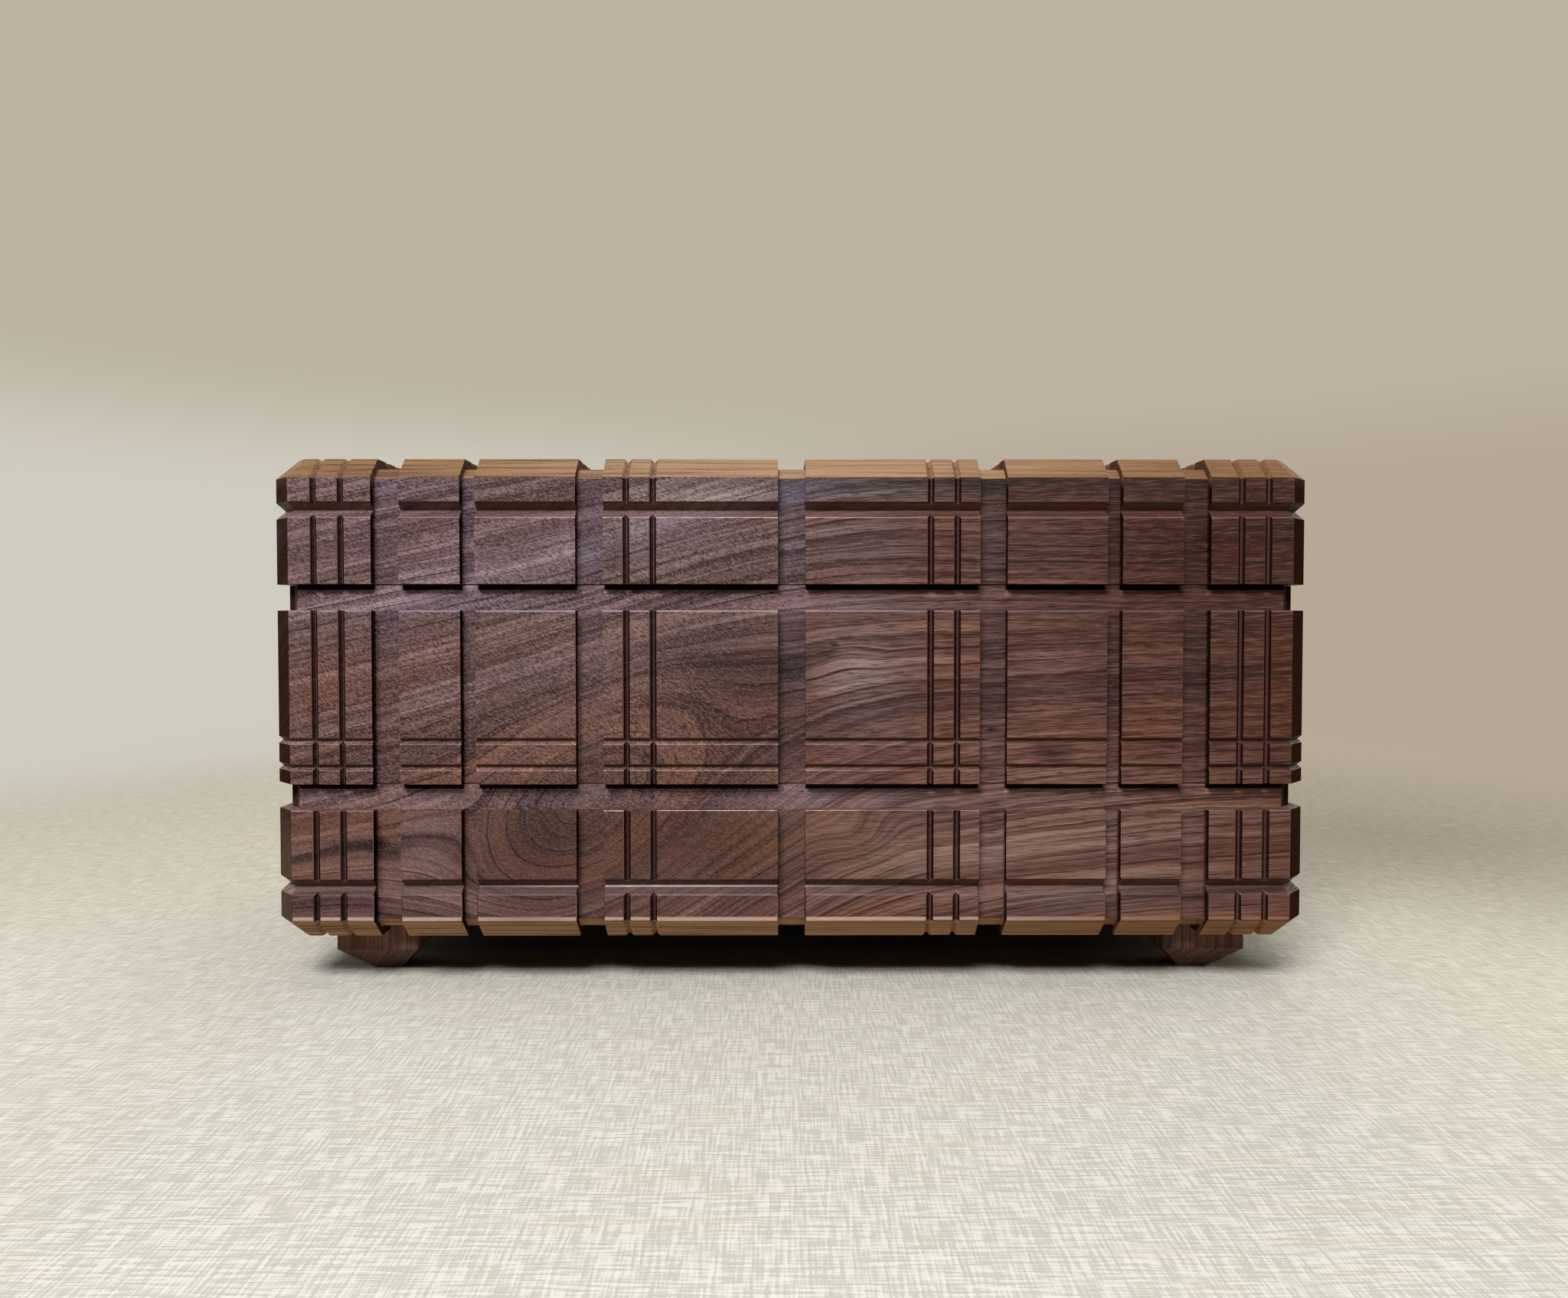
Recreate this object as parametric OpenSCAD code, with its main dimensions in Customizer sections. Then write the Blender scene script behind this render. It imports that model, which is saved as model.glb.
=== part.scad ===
// Walnut puzzle box: three plaid-carved tiers that slide over each other, on four tapered feet.
// X runs along the front, Y towards the back and Z up. The origin is on the floor, under the centre.

/* [Body] */
// Width of the box across its front
body_w = 305; // [290:1:400]
// Depth of the box from front to back
body_d = 200; // [190:1:300]
// Height of the box without its feet
body_h = 142; // [139.9:0.1:172]
// Leg of the 45 degree bevel along every outer edge
bevel = 6.1; // [4.5:0.1:6.5]
// Thickness of the outer boards, and so the inset of the first fine groove, which hides their joint
board_t = 13.4; // [12.6:0.1:15]

/* [Tiers] */
// Height of the lid tier
lid_tier_h = 37.1; // [35.4:0.1:42.4]
// Height of the base tier
base_tier_h = 46.4; // [44.5:0.1:51.5]
// Gap between flat faces that slide past each other
slide_gap = 0.3; // [0.2:0.05:0.4]

/* [Plaid] */
// Depth of the flat channels
channel_depth = 3.1; // [2.5:0.1:3.4]
// Depth of the flat channels where they cross the level bevels, square to the bevel
edge_channel_depth = 2.2; // [1.8:0.1:3.1]
// Width of the wide channels that cross the front and the ends upright
wide_w = 8; // [7:0.1:9]
// Width of the level channels
level_w = 7.7; // [7.5:0.1:9]
// Width of the narrow channels
narrow_w = 4.4; // [3.6:0.1:5]
// Width of the fine V grooves, twice their depth
fine_w = 2.1; // [1.6:0.1:3]
// Width of the big V grooves, twice their depth
big_w = 4.8; // [4:0.1:5.4]
// Inset of the second fine groove from the end
second_inset = 21.3; // [19:0.1:24]
// Inset of the wide channel from the end
wide_inset = 34.1; // [32:0.1:37]
// Inset of the narrow channel from the end
narrow_inset = 58.1; // [54:0.1:62]
// Distance of the inner wide channel from the centre of the front
inner_wide_x = 59; // [57:0.1:64]
// Distance of the outer inner groove from the centre of the front
inner_groove_x = 48.3; // [46:0.1:50]
// Distance of the innermost groove from the centre of the front
centre_groove_x = 40.5; // [36:0.1:43]
// Inset of the upper big groove from the top
upper_big_inset = 15.5; // [13.4:0.1:17.4]
// Inset of the lower big groove from the bottom
lower_big_inset = 16.1; // [14:0.1:18]
// Height of the lower fine groove over the lower seam
low_groove_h = 4.9; // [4:0.1:6]
// Height of the upper fine groove over the lower seam
high_groove_h = 12.6; // [12:0.1:14]

/* [Feet] */
// Height of the feet under the body
foot_h = 14.7; // [12:0.1:20]
// Width of a square foot
foot_w = 24.7; // [22:0.1:30]
// Leg of the 45 degree taper at the bottom of a foot
foot_taper = 8.2; // [5:0.1:10]

/* [Panels and rails] */
// Thickness of the floor panels
panel_t = 6; // [5:0.5:8]
// Depth of the grooves that hold panels in the boards
housing = 4; // [3:0.5:5]
// Recess of the base panel over the bottom of the body
base_recess = 3.4; // [3:0.1:5]
// Height of the floor of the middle tier over the lower seam
floor_lift = 4; // [3.5:0.1:6]
// Width of the rails that carry the middle tier
rail_w = 14; // [13:0.5:18]
// Height of those rails
rail_h = 12; // [11.5:0.1:14]
// Width of the web of a sliding runner
web_w = 4; // [3:0.5:5]
// Width of the flange of a sliding runner
flange_w = 9; // [7:0.5:10]
// Thickness of the flange of a sliding runner
flange_t = 3; // [2.5:0.1:4]
// Height of the web below the seam
web_drop = 4.5; // [4:0.1:5]

/* [Middle tier slide] */
// Travel of the middle tier over the base, and so of the drawer
middle_travel = 50; // [30:1:60]
// Side of the square cam plate
cam_side = 92; // [88:1:94]
// Thickness of the cam plate
cam_t = 6; // [5:0.5:7]
// Diameter of the cam pin
pin_d = 6; // [5:0.5:8]
// Clearance of the cam pin in its slot, all round
pin_gap = 0.3; // [0.2:0.05:0.5]
// Extra diameter of the holes drilled at the ends of that slot
slot_relief = 0.4; // [0.2:0.1:1]

/* [Drawer] */
// Thickness of the drawer's sides and back
drawer_t = 8; // [7:0.5:10]
// Height of the drawer's sides
drawer_h = 23.5; // [18:0.5:24]
// Space behind the drawer's back
drawer_room = 32.2; // [31:0.1:36]
// Thickness of the drawer's bottom
drawer_bottom_t = 4; // [3:0.5:5]
// Height of the drawer's bottom over the lower edge of its sides
drawer_bottom_lift = 2; // [1.5:0.5:4]
// Width of the guides beside the drawer
guide_w = 8; // [6:0.5:10]
// Height of those guides
guide_h = 15; // [10:0.5:18]

/* [Till] */
// Length of the sliding till
till_len = 120; // [90:1:130]
// Height of the till
till_h = 18; // [14:0.5:20]
// Thickness of the till's walls
till_t = 6; // [4:0.5:8]
// Thickness of the till's bottom
till_bottom_t = 4; // [3:0.5:5]
// Distance of the till's rim under the upper seam
till_drop = 8.2; // [7:0.1:12]
// Width of the till rails
till_rail_w = 6; // [5:0.5:8]
// Thickness of the till rails
till_rail_t = 5; // [4:0.5:6]
// Diameter of the finger hole in the till
finger_d = 16; // [12:1:20]

/* [Keys] */
// Travel of the sliding keys in the ends
key_travel = 7; // [5:0.1:7.2]
// Width of the stem of a key
stem_w = 8; // [6:0.5:10]
// Height of the foot of the stem over the key's lower groove
stem_inset = 3; // [2:0.1:5]
// Wood between the stem's slot and the groove of the lid's runner
stem_margin = 1.2; // [1:0.1:2]
// Thickness of the plate that holds a key from inside
key_plate_t = 5; // [4:0.5:5]
// Width of that plate
key_plate_w = 24; // [18:1:30]

/* [Lid] */
// Travel of the lid over the middle tier
lid_travel = 88; // [40:1:95]
// Thickness of the lid's top
lid_top_t = 10; // [9:0.5:12]
// Width of the cleats under the lid's top
cleat_w = 10; // [9:0.5:14]
// Wood left under the panel grooves in those cleats
cleat_lip = 3.4; // [3:0.1:4]
// Thickness of the lid's runners
lid_runner_t = 5.7; // [5:0.1:5.8]
// Height that the lid's runners reach above the seam
lid_runner_up = 7.6; // [5:0.1:7.8]
// Height that the lid's runners reach below the seam
lid_runner_down = 10.7; // [9:0.1:11]
// Height of the tongue along a lid runner
tongue_h = 6; // [4:0.5:6]
// Thickness of the hidden panels in the lid
hidden_t = 4; // [3:0.5:4.5]
// Height of the sliding hidden panel over the seam
hidden_lift = 12.4; // [12.2:0.1:13]
// Travel of the sliding hidden panel
hidden_travel = 70; // [30:1:100]
// Overlap of the two hidden panels
hidden_lap = 10; // [5:1:20]

/* [Fasteners] */
// Diameter of the corner dowels
dowel_d = 5; // [4:0.5:6]
// Length of the corner dowels
dowel_len = 15; // [12:1:20]
// Depth of the corner dowels in the front and back boards
dowel_bite = 4.9; // [4:0.1:5.5]
// Diameter of the screws' shanks
screw_d = 3.5; // [3:0.1:4]
// Diameter of the screws' heads
head_d = 7; // [6:0.1:8]
// Height of the screws' heads
head_h = 2.3; // [2:0.1:2.5]
// Depth of the cam plate's screws in the floor panel
cam_screw_bite = 4; // [3:0.1:4.5]
// Inset of those screws from the plate's edges
cam_screw_inset = 7; // [5:0.5:8]
// Length of the shank of a key's screw
key_screw_len = 10; // [8:0.5:12]
// Clearance round dowels and screws
fit_gap = 0.1; // [0.05:0.05:0.2]

/* [Hidden] */

$fn = 48;
eps = 1;
walnut = [0.36, 0.22, 0.16];
walnut_light = [0.46, 0.29, 0.20];
maple = [0.80, 0.66, 0.46];
brass = [0.78, 0.62, 0.30];

// Half sizes of the body, and of the space between its boards
half_w = body_w / 2;
half_d = body_d / 2;
in_x = half_w - board_t;
in_y = half_d - board_t;

// Heights of the tiers: a tier's underside is its seam, and the tier below ends one gap lower
top_z = foot_h + body_h;
mid_z = foot_h + body_h / 2;
lid_z = top_z - lid_tier_h;
seam_z = foot_h + base_tier_h;
base_top = seam_z - slide_gap;
middle_top = lid_z - slide_gap;

// Marks of the plaid, each [centre, half width]; a V groove is as deep as its half width
function both_sides(marks) = concat([for (i = [len(marks) - 1:-1:0]) [-marks[i][0], marks[i][1]]], marks);
function wide(at) = [at, wide_w / 2];
function narrow(at) = [at, narrow_w / 2];
function level(at) = [at, level_w / 2];
function fine(at) = [at, fine_w / 2];
function big(at) = [at, big_w / 2];
x_grooves = both_sides([
    fine(centre_groove_x), fine(inner_groove_x), fine(half_w - second_inset), fine(half_w - board_t)
]);
y_grooves = both_sides([fine(half_d - second_inset), fine(half_d - board_t)]);
z_grooves = [
    big(foot_h + lower_big_inset), fine(seam_z + low_groove_h), fine(seam_z + high_groove_h),
    big(top_z - upper_big_inset)
];
x_channels = concat([wide(0)],
    both_sides([wide(inner_wide_x), narrow(half_w - narrow_inset), wide(half_w - wide_inset)]));
y_channels = concat([wide(0)], both_sides([narrow(half_d - narrow_inset), wide(half_d - wide_inset)]));
z_channels = [level(seam_z - level_w / 2), level(lid_z - level_w / 2)];

// Outline of a rectangle with V grooves cut into its sides
function notches(marks) = [for (m = marks, p = [[-m[1], 0], [0, m[1]], [m[1], 0]]) [m[0] + p[0], p[1]]];
function reversed(list) = [for (i = [len(list) - 1:-1:0]) list[i]];
function grooved(u, v, u_marks, v_marks) = concat(
    [[u[0], v[0]]], [for (p = notches(u_marks)) [p[0], v[0] + p[1]]],
    [[u[1], v[0]]], [for (p = notches(v_marks)) [u[1] - p[1], p[0]]],
    [[u[1], v[1]]], [for (p = reversed(notches(u_marks))) [p[0], v[1] - p[1]]],
    [[u[0], v[1]]], [for (p = reversed(notches(v_marks))) [u[0] + p[1], p[0]]]
);

// Outline of a bevelled rectangle, drawn in by the depth of a channel, and by bevel_depth on its bevels
function drawn_in(u, v, bevel_depth) = let (
        u0 = u[0] + channel_depth, u1 = u[1] - channel_depth,
        v0 = v[0] + channel_depth, v1 = v[1] - channel_depth,
        leg = bevel + sqrt(2) * bevel_depth - 2 * channel_depth
    ) [
        [u0 + leg, v0], [u1 - leg, v0], [u1, v0 + leg], [u1, v1 - leg],
        [u1 - leg, v1], [u0 + leg, v1], [u0, v1 - leg], [u0, v0 + leg]
    ];

span_x = [-half_w, half_w];
span_y = [-half_d, half_d];
span_z = [foot_h, top_z];
corner_reach = (half_w + half_d - bevel) / sqrt(2);
long_reach = (half_d + body_h / 2 - bevel) / sqrt(2);
short_reach = (half_w + body_h / 2 - bevel) / sqrt(2);
facet_reach = corner_reach + body_h / 2 - bevel;
through = body_w + body_d;

// A box given by its low and high corners
module block(low, high) {
    translate(low) cube(high - low);
}

// The part of the carved body that lies between two corners
module carved(low, high) {
    difference() {
        intersection() {
            block(low, high);
            translate([0, 0, foot_h]) linear_extrude(body_h)
                polygon(grooved(span_x, span_y, x_grooves, y_grooves));
            along_y() polygon(grooved(span_x, span_z, x_grooves, z_grooves));
            along_x() polygon(grooved(span_y, span_z, y_grooves, z_grooves));
            corner_bevels(45);
            corner_bevels(-45);
            corner_facets(45);
            corner_facets(-45);
            edge_bevels([45, 0, 0], span_x, [-long_reach, long_reach], x_grooves, []);
            edge_bevels([-45, 0, 0], span_x, [-long_reach, long_reach], x_grooves, []);
            edge_bevels([0, 45, 0], [-short_reach, short_reach], span_y, [], y_grooves);
            edge_bevels([0, -45, 0], [-short_reach, short_reach], span_y, [], y_grooves);
        }
        for (m = x_channels) if (crosses(m, low[0], high[0])) channel([m[0], 0, 0], [m[1], through, through])
            along_x() polygon(drawn_in(span_y, span_z, edge_channel_depth));
        for (m = y_channels) if (crosses(m, low[1], high[1])) channel([0, m[0], 0], [through, m[1], through])
            along_y() polygon(drawn_in(span_x, span_z, edge_channel_depth));
        for (m = z_channels) if (crosses(m, low[2], high[2])) channel([0, 0, m[0]], [through, through, m[1]])
            linear_extrude(through) polygon(drawn_in(span_x, span_y, channel_depth));
    }
}

function crosses(m, low, high) = m[0] + m[1] > low && m[0] - m[1] < high;

// A flat channel right round the body: a slab, without what the channel's floor leaves
module channel(middle, half_size) {
    difference() {
        block(middle - half_size, middle + half_size);
        children();
    }
}

module along_x() {
    rotate([90, 0, 90]) linear_extrude(through, center = true) children();
}

module along_y() {
    rotate([90, 0, 0]) linear_extrude(through, center = true) children();
}

// Bevels of two opposite upright corners, with the grooves that go round them
module corner_bevels(turn) {
    rotate([90, 0, turn]) linear_extrude(through, center = true)
        polygon(grooved([-corner_reach, corner_reach], span_z, [], z_grooves));
}

// Small facets over and under two opposite upright corners
module corner_facets(turn) {
    translate([0, 0, mid_z]) rotate([90, 0, turn]) linear_extrude(through, center = true)
        polygon([[facet_reach, 0], [0, facet_reach], [-facet_reach, 0], [0, -facet_reach]]);
}

// Bevels of two opposite level edges, with the grooves that run over them
module edge_bevels(turn, u, v, u_marks, v_marks) {
    translate([0, 0, mid_z]) rotate(turn) linear_extrude(through, center = true)
        polygon(grooved(u, v, u_marks, v_marks));
}

// Boards of a tier between two heights: side is -1 for the front or left, 1 for the back or right
module long_board(side, z0, z1) {
    y0 = side < 0 ? -half_d : in_y;
    carved([-half_w, y0, z0], [half_w, y0 + board_t, z1]);
}

module end_board(side, z0, z1, front_gap = 0) {
    x0 = side < 0 ? -half_w : in_x;
    carved([x0, -in_y + front_gap, z0], [x0 + board_t, in_y, z1]);
}

// Dowels that join the end boards to the long boards, at the given sides and heights
module dowels(sides, heights, gap = 0) {
    for (x = [-1, 1], y = sides, z = heights)
        translate([x * (half_w - board_t / 2), y * (in_y + dowel_bite + gap), z])
            rotate([y * 90, 0, 0]) cylinder(d = dowel_d + 2 * gap, h = dowel_len + 2 * gap);
}

// A screw with its head below and its shank up, its head's underside at z = 0
module screw(shank, gap = 0) {
    translate([0, 0, -head_h - gap]) cylinder(d = head_d + 2 * gap, h = head_h + gap);
    translate([0, 0, -eps]) cylinder(d = screw_d + 2 * gap, h = shank + eps + gap);
}

/* Base */

panel_z = foot_h + base_recess;
panel_top = panel_z + panel_t;
front_edge = -in_y + slide_gap;
base_dowel_z = [foot_h + lower_big_inset + dowel_d, seam_z - level_w - dowel_d];
foot_x = in_x - foot_w / 2;
foot_y = in_y - slide_gap - foot_w / 2;
foot_spots = [[-foot_x, -foot_y], [foot_x, -foot_y], [-foot_x, foot_y], [foot_x, foot_y]];
foot_screw_len = foot_h;
rail_z = base_top - rail_h;
front_rail_y = front_edge + rail_w / 2;
back_rail_y = in_y - rail_w / 2;

module base_panel_block(gap = 0) {
    x = in_x + housing + gap;
    block([-x, front_edge, panel_z], [x, in_y + housing + gap, panel_top]);
}

module base_end(side) {
    color(walnut) difference() {
        end_board(side, foot_h, base_top, slide_gap);
        base_panel_block(fit_gap);
        dowels([1], base_dowel_z, fit_gap);
    }
}

module base_left() base_end(-1);
module base_right() base_end(1);

module base_back() {
    color(walnut) difference() {
        long_board(1, foot_h, base_top);
        base_panel_block(fit_gap);
        dowels([1], base_dowel_z, fit_gap);
    }
}

module base_panel() {
    color(walnut_light) difference() {
        base_panel_block();
        foot_screw_set(fit_gap);
    }
}

module base_dowels() {
    color(maple) dowels([1], base_dowel_z);
}

// A rail with the T groove that a runner slides in
module slotted_rail(y) {
    color(walnut_light) difference() {
        block([-in_x, y - rail_w / 2, rail_z], [in_x, y + rail_w / 2, base_top]);
        runner_profile(y, in_x + eps, slide_gap, base_top + eps);
    }
}

module front_rail() slotted_rail(front_rail_y);
module back_rail() slotted_rail(back_rail_y);

module drawer_guide(side) {
    x0 = side < 0 ? -in_x : in_x - guide_w;
    color(walnut_light) block([x0, front_edge, panel_top], [x0 + guide_w, in_y, panel_top + guide_h]);
}

module drawer_guide_left() drawer_guide(-1);
module drawer_guide_right() drawer_guide(1);

// A square foot with a 45 degree taper on its four sides
module foot(spot) {
    h = foot_w / 2;
    b = h - foot_taper;
    side_view = [[-h, panel_z], [-h, foot_taper], [-b, 0], [b, 0], [h, foot_taper], [h, panel_z]];
    color(walnut) difference() {
        translate([spot[0], spot[1], 0]) intersection() {
            rotate([90, 0, 0]) linear_extrude(foot_w, center = true) polygon(side_view);
            rotate([90, 0, 90]) linear_extrude(foot_w, center = true) polygon(side_view);
        }
        foot_screw(spot, fit_gap);
    }
}

module foot_front_left() foot(foot_spots[0]);
module foot_front_right() foot(foot_spots[1]);
module foot_back_left() foot(foot_spots[2]);
module foot_back_right() foot(foot_spots[3]);

module foot_screw(spot, gap = 0) {
    translate([spot[0], spot[1], panel_top - head_h - fit_gap]) rotate([180, 0, 0])
        screw(foot_screw_len, gap);
}

module foot_screw_set(gap = 0) {
    for (spot = foot_spots) foot_screw(spot, gap);
}

module foot_screws() {
    color(brass) foot_screw_set();
}

/* Runners of the middle tier */

runner_len = 2 * in_x - middle_travel - 2 * slide_gap;
floor_z = seam_z + floor_lift;
floor_top = floor_z + panel_t;

// The T section that hangs below the seam: gap widens it into its groove, and top is where it ends
module runner_profile(y, half_len, gap, top) {
    web_z = seam_z - web_drop;
    web = web_w / 2 + gap;
    flange = flange_w / 2 + gap;
    block([-half_len, y - web, web_z], [half_len, y + web, top]);
    block([-half_len, y - flange, web_z - flange_t - gap], [half_len, y + flange, web_z + gap]);
}

module runner(y) {
    color(maple) translate([-middle_travel / 2, 0, 0]) runner_profile(y, runner_len / 2, 0, floor_z);
}

module runner_front() runner(front_rail_y);
module runner_back() runner(back_rail_y);

/* Drawer */

drawer_z = panel_top + slide_gap;
drawer_top = drawer_z + drawer_h;
drawer_x = in_x - guide_w - slide_gap;
drawer_back_y = in_y - drawer_room;
drawer_bottom_z = drawer_z + drawer_bottom_lift;
pin_x = middle_travel / 2;
pin_y = drawer_back_y - drawer_t / 2;
pin_top = floor_z - slide_gap;
pin_bite = drawer_h / 2;

module drawer_bottom_block(gap = 0) {
    x = drawer_x - drawer_t + housing + gap;
    block([-x, -in_y - housing - gap, drawer_bottom_z],
        [x, drawer_back_y - drawer_t + housing + gap, drawer_bottom_z + drawer_bottom_t]);
}

module drawer_front() {
    color(walnut) difference() {
        long_board(-1, foot_h, base_top);
        drawer_bottom_block(fit_gap);
    }
}

module drawer_side(side) {
    x0 = side < 0 ? -drawer_x : drawer_x - drawer_t;
    color(walnut_light) difference() {
        block([x0, -in_y, drawer_z], [x0 + drawer_t, drawer_back_y, drawer_top]);
        drawer_bottom_block(fit_gap);
    }
}

module drawer_left() drawer_side(-1);
module drawer_right() drawer_side(1);

module drawer_back() {
    x = drawer_x - drawer_t;
    color(walnut_light) difference() {
        block([-x, drawer_back_y - drawer_t, drawer_z], [x, drawer_back_y, drawer_top]);
        drawer_bottom_block(fit_gap);
        translate([pin_x, pin_y, drawer_top - pin_bite - fit_gap])
            cylinder(d = pin_d + 2 * fit_gap, h = pin_bite + fit_gap + eps);
    }
}

module drawer_bottom() {
    color(walnut_light) drawer_bottom_block();
}

module cam_pin() {
    color(brass) translate([pin_x, pin_y, drawer_top - pin_bite])
        cylinder(d = pin_d, h = pin_top - drawer_top + pin_bite);
}

/* Middle tier */

middle_dowel_z = [floor_top + dowel_d, middle_top - level_w - 2 * dowel_d];
cam_y = pin_y - middle_travel / 2;
cam_screw_len = cam_t - head_h + cam_screw_bite;
till_z = lid_z - till_drop - till_h;
till_rail_z = till_z - slide_gap;

module floor_block(gap = 0) {
    x = in_x + housing + gap;
    y = in_y + housing + gap;
    block([-x, -y, floor_z], [x, y, floor_top]);
}

module middle_long(side) {
    color(walnut) difference() {
        long_board(side, seam_z, middle_top);
        floor_block(fit_gap);
        dowels([side], middle_dowel_z, fit_gap);
    }
}

module middle_front() middle_long(-1);
module middle_back() middle_long(1);

// End board with the groove of a lid runner and the window and slot of a key
module middle_left() {
    color(walnut) difference() {
        end_board(-1, seam_z, middle_top);
        floor_block(fit_gap);
        dowels([-1, 1], middle_dowel_z, fit_gap);
        tongue_block(in_y + eps, slide_gap);
        key_window();
    }
}

module middle_right() {
    rotate([0, 0, 180]) middle_left();
}

module middle_floor() {
    color(walnut_light) difference() {
        floor_block();
        cam_screw_set(fit_gap);
    }
}

module middle_dowels() {
    color(maple) dowels([-1, 1], middle_dowel_z);
}

// Plate with the diagonal slot that drives the cam pin
module cam_plate() {
    slot_w = pin_d + 2 * pin_gap;
    h = cam_side / 2;
    color(maple) difference() {
        block([-h, cam_y - h, floor_z - cam_t], [h, cam_y + h, floor_z]);
        for (end = [0, -middle_travel])
            translate([pin_x + end, pin_y + end, floor_z - cam_t - eps])
                cylinder(d = slot_w + slot_relief, h = cam_t + 2 * eps);
        translate([pin_x, pin_y, floor_z - cam_t - eps]) rotate([0, 0, 45])
            block([-middle_travel * sqrt(2), -slot_w / 2, 0], [0, slot_w / 2, cam_t + 2 * eps]);
        cam_screw_set(fit_gap);
    }
}

module cam_screw_set(gap = 0) {
    spot = cam_side / 2 - cam_screw_inset;
    for (x = [-spot, spot], y = [-spot, spot])
        translate([x, cam_y + y, floor_z - cam_t + head_h + fit_gap]) screw(cam_screw_len, gap);
}

module cam_screws() {
    color(brass) cam_screw_set();
}

module till_rail(side) {
    y0 = side < 0 ? -in_y : in_y - till_rail_w;
    color(walnut_light) block([-in_x, y0, till_rail_z - till_rail_t], [in_x, y0 + till_rail_w, till_rail_z]);
}

module till_rail_front() till_rail(-1);
module till_rail_back() till_rail(1);

/* Till */

till_x = in_x - slide_gap - lid_runner_t - 2 * slide_gap;

// Tray carved from one block, with a finger hole at its free end
module till_tray() {
    y = in_y - slide_gap;
    x0 = -till_x;
    x1 = till_len - till_x;
    color(walnut_light) difference() {
        block([x0, -y, till_z], [x1, y, till_z + till_h]);
        block([x0 + till_t, till_t - y, till_z + till_bottom_t],
            [x1 - till_t, y - till_t, till_z + till_h + eps]);
        translate([x1 - till_t - finger_d, 0, till_z - eps])
            cylinder(d = finger_d, h = till_bottom_t + 2 * eps);
    }
}

/* Keys: a proud block of each end, between two channels, that slides up into the channel above it */

key_y = [wide_w / 2, half_d - narrow_inset - narrow_w / 2];
key_z = [seam_z + high_groove_h, lid_z - level_w];
key_mid = (key_y[0] + key_y[1]) / 2;
stem_z = key_z[0] + stem_inset;
stem_h = lid_z - lid_runner_down - 2 * slide_gap - stem_margin - key_travel - stem_z;
key_floor = half_w - channel_depth;
plate_x = in_x - slide_gap;

// Room for the key in the left end board: its window at channel depth, and the stem's slot
module key_window() {
    block([-half_w - eps, key_y[0] - eps, key_z[0]], [-key_floor, key_y[1] + eps, key_z[1] + eps]);
    block([-half_w, key_mid - stem_w / 2 - slide_gap, stem_z - slide_gap],
        [-in_x + eps, key_mid + stem_w / 2 + slide_gap, stem_z + stem_h + key_travel + slide_gap]);
}

module left_key() {
    color(walnut) difference() {
        union() {
            carved([-half_w, key_y[0], key_z[0] + slide_gap], [-key_floor - slide_gap, key_y[1], key_z[1]]);
            block([-key_floor - slide_gap - eps, key_mid - stem_w / 2, stem_z],
                [-plate_x, key_mid + stem_w / 2, stem_z + stem_h]);
        }
        key_screw(fit_gap);
    }
}

module left_key_plate() {
    color(walnut_light) difference() {
        block([-plate_x, key_mid - key_plate_w / 2, stem_z],
            [key_plate_t - plate_x, key_mid + key_plate_w / 2, stem_z + stem_h]);
        key_screw(fit_gap);
    }
}

module key_screw(gap = 0) {
    translate([key_plate_t - plate_x - head_h - fit_gap, key_mid, stem_z + stem_h / 2])
        rotate([0, -90, 0]) screw(key_screw_len, gap);
}

module left_key_screw() {
    color(brass) key_screw();
}

module right_key() {
    rotate([0, 0, 180]) left_key();
}

module right_key_plate() {
    rotate([0, 0, 180]) left_key_plate();
}

module right_key_screw() {
    rotate([0, 0, 180]) left_key_screw();
}

/* Lid */

lid_top_z = top_z - lid_top_t;
lid_dowel_z = [lid_z + dowel_d, top_z - upper_big_inset - big_w];
hidden_z = lid_z + hidden_lift;
cleat_z = hidden_z - slide_gap - cleat_lip;
fixed_z = hidden_z + hidden_t + 2 * slide_gap;
hidden_y = in_y - housing;
fixed_len = hidden_travel + hidden_lap + slide_gap;
lid_runner_len = 2 * in_y - lid_travel - 2 * slide_gap;

module lid_long(side) {
    color(walnut) difference() {
        long_board(side, lid_z, top_z);
        dowels([side], lid_dowel_z, fit_gap);
    }
}

module lid_front() lid_long(-1);
module lid_back() lid_long(1);

module lid_end(side) {
    color(walnut) difference() {
        end_board(side, lid_z, top_z);
        dowels([-1, 1], lid_dowel_z, fit_gap);
    }
}

module lid_left() lid_end(-1);
module lid_right() lid_end(1);

module lid_top() {
    color(walnut) carved([-in_x, -in_y, lid_top_z], [in_x, in_y, top_z]);
}

module lid_dowels() {
    color(maple) dowels([-1, 1], lid_dowel_z);
}

// Cleat under the lid's top, grooved for the hidden panels
module lid_cleat(side) {
    y0 = side < 0 ? -in_y : in_y - cleat_w;
    color(walnut_light) difference() {
        block([-in_x, y0, cleat_z], [in_x, y0 + cleat_w, lid_top_z]);
        block([-in_x - eps, -hidden_y, hidden_z - slide_gap],
            [in_x + eps, hidden_y, hidden_z + hidden_t + slide_gap]);
        block([in_x - fixed_len, -hidden_y, fixed_z], [in_x + eps, hidden_y, fixed_z + hidden_t]);
    }
}

module lid_cleat_front() lid_cleat(-1);
module lid_cleat_back() lid_cleat(1);

module lid_fixed_panel() {
    color(walnut_light) block([in_x - fixed_len, -hidden_y, fixed_z], [in_x, hidden_y, fixed_z + hidden_t]);
}

module lid_sliding_panel() {
    y = hidden_y - slide_gap;
    color(walnut_light)
        block([slide_gap - in_x, -y, hidden_z], [in_x - fixed_len + hidden_lap, y, hidden_z + hidden_t]);
}

// The tongue of the left lid runner: gap widens it into its groove
module tongue_block(half_len, gap) {
    tongue_z = lid_z - lid_runner_down;
    block([-in_x - housing - gap, -half_len, tongue_z - gap],
        [slide_gap - in_x + eps, half_len, tongue_z + tongue_h + gap]);
}

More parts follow.
